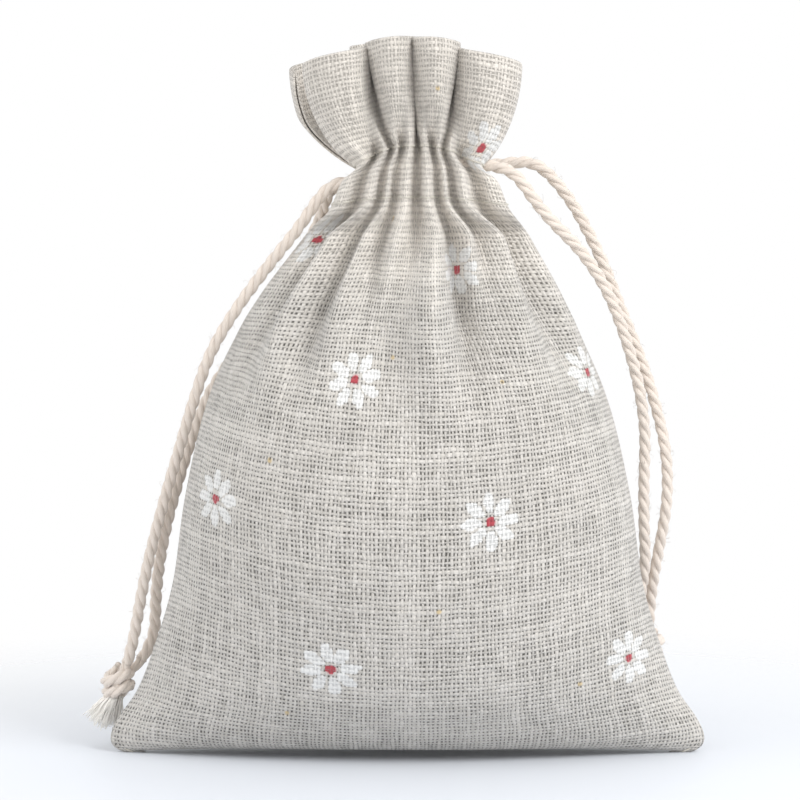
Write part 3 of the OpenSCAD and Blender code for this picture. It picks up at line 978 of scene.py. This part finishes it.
def smoothed(line, over):
    """The line with its bends eased over a distance in millimetres, its ends kept."""
    step = 0.25
    line = evenly(line, int(lengths(line)[-1] / step) + 2)
    reach = int(over / step)
    kernel = np.hanning(2 * reach + 1)[1:-1]
    kernel /= kernel.sum()
    half = len(kernel) // 2
    padded = np.vstack([2 * line[0] - line[half:0:-1], line, 2 * line[-1] - line[-2:-half - 2:-1]])
    return np.stack([np.convolve(padded[:, k], kernel, "valid") for k in range(3)], axis=1)


def strand_line(side, face):
    """From inside the tunnel, out at its end and down to the knot."""
    exit_x, _, exit_z = EXITS[side]
    outward = OUTWARD[side]
    y = -CORD_Y / MM if face == "front" else CORD_Y / MM
    inner = [(exit_x - outward * far, y, exit_z) for far in (9, 7, 5, 3)]
    route = STRAND_ROUTES[f"{side}_{face}"]
    return smoothed(spline(inner + route, 400), 5.0)


def hidden_run(side):
    """From one tunnel, round the far side slit and back into the other tunnel."""
    exit_x, _, exit_z = EXITS[side]
    outward = OUTWARD[side]
    far_x = 1000 * neck_x - outward * FAR_TURN_X
    near_x, y = exit_x - outward * 10, CORD_Y / MM
    quarter = [
        (far_x + outward * TURN_R * (1 - math.sin(angle)), -y + TURN_R * (1 - math.cos(angle)), exit_z)
        for angle in np.linspace(0, math.pi / 2, 8)
    ]
    other_quarter = [(x, -turn_y, z) for x, turn_y, z in reversed(quarter)]
    return np.array([(near_x, -y, exit_z)] + quarter + other_quarter + [(near_x, y, exit_z)])


def wrap_line(centre, lean):
    """The turns of the knot round the two cords it holds."""
    turns, height, steps = 2.35, 4.3, 90
    u = np.linspace(0, 1, steps)
    angle = 2 * math.pi * turns * u + 0.6
    reach = 0.9 + 1.25 * np.maximum(np.sin(math.pi * u), 0)**0.45
    flat = np.stack([reach * np.cos(angle), reach * np.sin(angle), height * (0.5 - u)], axis=1)
    flat[:, 2] += 0.35 * flat[:, 0]
    c, s = math.cos(lean), math.sin(lean)
    return np.array(centre) + flat @ np.array([[c, 0, -s], [0, 1, 0], [s, 0, c]])


def fray(root, direction, length, spread, count, rng):
    """The untwisted fibres of a cut end."""
    direction = np.array(direction) / np.linalg.norm(direction)
    a = np.cross(direction, [0, 1, 0])
    a /= np.linalg.norm(a)
    b = np.cross(direction, a)
    u = np.linspace(0, 1, 8)
    parts = []
    for _ in range(count):
        angle, far = rng.uniform(0, 2 * math.pi), math.sqrt(rng.uniform(0, 1))
        aside = math.cos(angle) * a + math.sin(angle) * b
        reach = length * rng.uniform(0.55, 1.0)
        wide = 0.9 * far + spread * far * u**1.2
        bend = 0.25 * u * np.sin(u * rng.uniform(3, 7) + rng.uniform(0, 6))
        curl = bend[:, None] * (math.cos(angle * 2) * a + math.sin(angle * 3) * b)
        centre = np.array(root) + direction * (reach * u)[:, None] + aside * wide[:, None] + curl
        centre[:, 2] = np.maximum(centre[:, 2] - 0.6 * u**2, 0.15)
        parts.append(tube(centre, rng.uniform(0.07, 0.13) * (1 - 0.5 * u), 4))
    return parts


def cord_pieces(side, rng):
    """One drawcord's run through the tunnel, two strands, knot and frayed ends."""
    outward = OUTWARD[side]
    pieces = {}
    lines = {face: strand_line(side, face) for face in ("front", "back")}
    for face, line in lines.items():
        verts, faces, uv = rope(line, rng, start=rng.uniform(0, 1))
        pieces[face] = new_object(f"{side}_{face}_cord", verts * MM, faces, CORD, uv)
    verts, faces, uv = rope(hidden_run(side), rng, hairs=0.2)
    pieces["run"] = new_object(f"{side}_run_cord", verts * MM, faces, CORD, uv)
    centre = np.array(KNOTS[side])
    lean = math.radians(END_LEANS[side])
    wraps = rope(wrap_line(centre + [0.8 * outward, 0, 0.2], 0.4 * lean), rng, diameter=2.1)
    held = []
    down = np.array([math.sin(lean), 0.0, -math.cos(lean)])
    for face, aside in (("front", -0.8), ("back", 0.8)):
        inside = centre + [aside * 0.5, aside, 1.0]
        below = centre + down * 2.6 + [0.4 * aside, aside, 0]
        held.append(rope(spline([lines[face][-1], inside, below], 30), rng, diameter=1.7, start=aside))
    verts, faces, uv = merge([wraps] + held)
    pieces["knot"] = new_object(f"{side}_cord_knot", verts * MM, faces, CORD, uv)
    tufts = []
    for aside in (-0.8, 0.8):
        root = centre + down * 2.2 + [0.5 * aside, aside, 0]
        tufts += fray(root, down + [0.15 * aside, 0.12 * aside, 0], 5.4, 1.5, 230, rng)
    verts, faces, uv = merge(tufts)
    pieces["ends"] = new_object(f"{side}_cord_fray", verts * MM, faces, FIBRE, uv)
    return pieces, lines


# ---------------------------------------------------------------- light, floor and background

# The floor and its painted shadow fade out from this far from the middle, over this distance.
FADE_FROM, FADE_OVER = 0.055, 0.10


def make_floor():
    """A pale bluish floor, darkened near the sack by painted shadow, that fades into the white background."""
    verts = [(-1, -1, 0), (1, -1, 0), (1, 1, 0), (-1, 1, 0)]
    material = bpy.data.materials.new("floor")
    material.use_nodes = True
    tree = material.node_tree
    shader = tree.nodes["Principled BSDF"]
    # The floor's pale bluish tone, darkened here as painted shadow round the sack.
    shader.inputs["Base Color"].default_value = (0.71, 0.74, 0.79, 1)
    shader.inputs["Roughness"].default_value = 0.55
    place = tree.nodes.new("ShaderNodeTexCoord")
    split = tree.nodes.new("ShaderNodeSeparateXYZ")
    tree.links.new(place.outputs["Object"], split.inputs[0])
    x, y = split.outputs[0], split.outputs[1]
    fade = divided(tree, minus(tree, hypotenuse(tree, x, y), FADE_FROM), FADE_OVER, clamp=True)
    clear = tree.nodes.new("ShaderNodeBsdfTransparent")
    blend = tree.nodes.new("ShaderNodeMixShader")
    tree.links.new(fade, blend.inputs[0])
    tree.links.new(shader.outputs[0], blend.inputs[1])
    tree.links.new(clear.outputs[0], blend.inputs[2])
    tree.links.new(blend.outputs[0], tree.nodes["Material Output"].inputs["Surface"])
    floor = new_object("floor", verts, [[0, 1, 2, 3]], material)


def area_light(name, place, size, power):
    """A soft light that faces the sack's middle."""
    data = bpy.data.lights.new(name, "AREA")
    data.size = size
    data.energy = power
    light = bpy.data.objects.new(name, data)
    light.location = place
    light.rotation_euler = (Vector((0, 0, 0.06)) - Vector(place)).to_track_quat("-Z", "Y").to_euler()
    bpy.context.collection.objects.link(light)


def light_scene():
    world = bpy.data.worlds.new("white")
    world.use_nodes = True
    background = world.node_tree.nodes["Background"]
    background.inputs["Color"].default_value = (1.0, 1.0, 1.0, 1)
    background.inputs["Strength"].default_value = 1.0
    bpy.context.scene.world = world
    area_light("key", (0.42, -0.38, 0.45), 0.3, 2.6)
    area_light("fill", (-0.5, -0.25, 0.4), 0.4, 0.7)
    bpy.context.scene.view_settings.view_transform = "Standard"


make_floor()
light_scene()

# ---------------------------------------------------------------- placed on the frame: transforms baked, pieces attached to its bodies, its parts hidden

rng = np.random.default_rng(7)
for side, cloth, hem, y in (("front", front_cloth, front_hem, -0.005), ("back", back_cloth, back_hem, 0.005)):
    for piece in (cloth, hem):
        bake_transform(piece)
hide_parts("front_panel", "bottom_fold", "front_casing", "front_frill")
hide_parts("back_panel", "back_casing", "back_frill")
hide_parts("front_facing")
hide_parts("back_facing")
for (side, level), piece in stitches.items():
    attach(piece, "sack")
    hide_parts(f"{side}_{level}_stitches")
for side, (strip, thread) in seams.items():
    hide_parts(f"{side}_side_seam")
    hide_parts(f"{side}_seam_stitches")
    for piece, slot in ((strip, "cloth"), (thread, "thread")):
        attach(piece, "sack")
for side in ("left", "right"):
    pieces, lines = cord_pieces(side, rng)
    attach(pieces["run"], "sack")
    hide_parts(f"{side}_cord_run")
    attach(pieces["knot"], f"{side}_cord_loop")
    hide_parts(f"{side}_knot")
    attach(pieces["ends"], f"{side}_cord_loop")
    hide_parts(f"{side}_cord_ends")
    for face in ("front", "back"):
        strand, line = pieces[face], lines[face] * MM
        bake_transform(strand)
        nodes = [f"{side}_{face}_strand"] + ([f"{side}_cord_stubs"] if face == "front" else [])
        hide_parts(*nodes)
